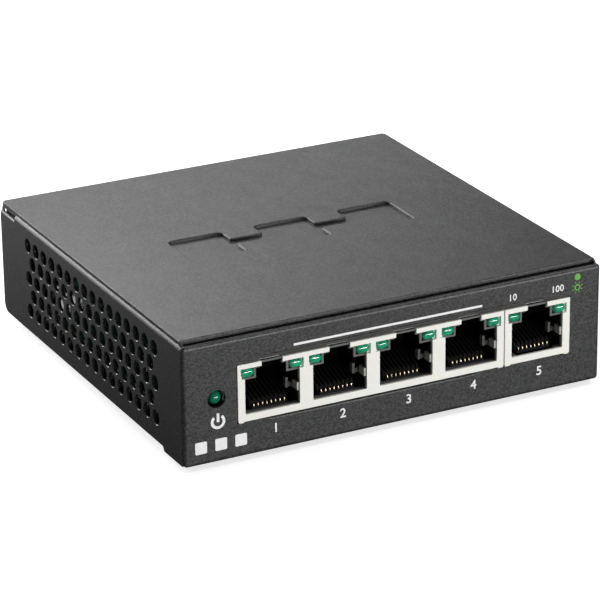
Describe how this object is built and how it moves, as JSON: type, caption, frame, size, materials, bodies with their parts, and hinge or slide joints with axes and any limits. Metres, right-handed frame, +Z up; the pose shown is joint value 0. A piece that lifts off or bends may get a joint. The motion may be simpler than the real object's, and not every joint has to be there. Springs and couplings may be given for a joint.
{
  "type": "desktop network switch",
  "caption": "Compact network switch in a folded, perforated steel case with RJ45 sockets and link lamps along the front and a barrel power socket at the back.",
  "frame": {"origin": "centre of the footprint, on the plane of the rubber feet", "axes": "+Z up, the port side faces -Y, +X to the right as seen from the port side"},
  "size_m": [0.1, 0.0982, 0.0289],
  "materials": {
    "charcoal_coat": "fine textured powder coat, satin",
    "black_rubber": "matte",
    "zinc_steel": "zinc plated",
    "solder_resist": "green solder resist over glass laminate",
    "black_moulding": "moulded epoxy",
    "tinned_can": "bright tinned",
    "aluminium_can": "satin can",
    "ivory_nylon": "satin moulded nylon",
    "green_lens": "tinted clear lens",
    "gold_spring": "gold-plated spring wire"
  },
  "bodies": {
    "tray": {"base_tray": "charcoal_coat", "rubber_foot_1": "black_rubber", "rubber_foot_2": "black_rubber", "rubber_foot_3": "black_rubber", "rubber_foot_4": "black_rubber", "cover_screw_left": "zinc_steel", "cover_screw_right": "zinc_steel", "board_screw_1": "zinc_steel", "board_screw_2": "zinc_steel", "board_screw_3": "zinc_steel", "board_screw_4": "zinc_steel", "circuit_board": "solder_resist", "switch_chip": "black_moulding", "line_transformer_quad": "black_moulding", "line_transformer_single": "black_moulding", "memory_chip": "black_moulding", "regulator_chip": "black_moulding", "power_inductor": "black_moulding", "clock_crystal": "tinned_can", "capacitor_large": "aluminium_can", "capacitor_small": "aluminium_can", "port_block_1_to_4": "ivory_nylon", "port_block_5": "ivory_nylon", "port_1_lamp_left": "green_lens", "port_1_lamp_right": "green_lens", "port_2_lamp_left": "green_lens", "port_2_lamp_right": "green_lens", "port_3_lamp_left": "green_lens", "port_3_lamp_right": "green_lens", "port_4_lamp_left": "green_lens", "port_4_lamp_right": "green_lens", "port_5_lamp_left": "green_lens", "port_5_lamp_right": "green_lens", "power_lamp": "green_lens", "lamp_holder": "black_moulding", "power_socket": "black_moulding", "socket_pin": "gold_spring"},
    "cover": {"top_cover": "charcoal_coat"},
    "contacts_1": {"port_1_contacts": "gold_spring"},
    "contacts_2": {"port_2_contacts": "gold_spring"},
    "contacts_3": {"port_3_contacts": "gold_spring"},
    "contacts_4": {"port_4_contacts": "gold_spring"},
    "contacts_5": {"port_5_contacts": "gold_spring"},
    "sleeve_spring": {"socket_spring": "gold_spring"}
  },
  "joints": [
    {"name": "cover_lift", "type": "slide", "parent": "tray", "child": "cover", "axis": [0, 0, 1], "range_m": [0, 0.05]},
    {"name": "contact_flex_1", "type": "hinge", "parent": "tray", "child": "contacts_1", "pos_m": [-0.0296, -0.0471, 0.01095], "axis": [-1, 0, 0], "range_deg": [0, 12]},
    {"name": "contact_flex_2", "type": "hinge", "parent": "tray", "child": "contacts_2", "pos_m": [-0.0138, -0.0471, 0.01095], "axis": [-1, 0, 0], "range_deg": [0, 12]},
    {"name": "contact_flex_3", "type": "hinge", "parent": "tray", "child": "contacts_3", "pos_m": [0.002, -0.0471, 0.01095], "axis": [-1, 0, 0], "range_deg": [0, 12]},
    {"name": "contact_flex_4", "type": "hinge", "parent": "tray", "child": "contacts_4", "pos_m": [0.0178, -0.0471, 0.01095], "axis": [-1, 0, 0], "range_deg": [0, 12]},
    {"name": "contact_flex_5", "type": "hinge", "parent": "tray", "child": "contacts_5", "pos_m": [0.03415, -0.0471, 0.01095], "axis": [-1, 0, 0], "range_deg": [0, 12]},
    {"name": "sleeve_spring_flex", "type": "hinge", "parent": "tray", "child": "sleeve_spring", "pos_m": [0.033, 0.0375, 0.0101], "axis": [-1, 0, 0], "range_deg": [0, 5]}
  ]
}
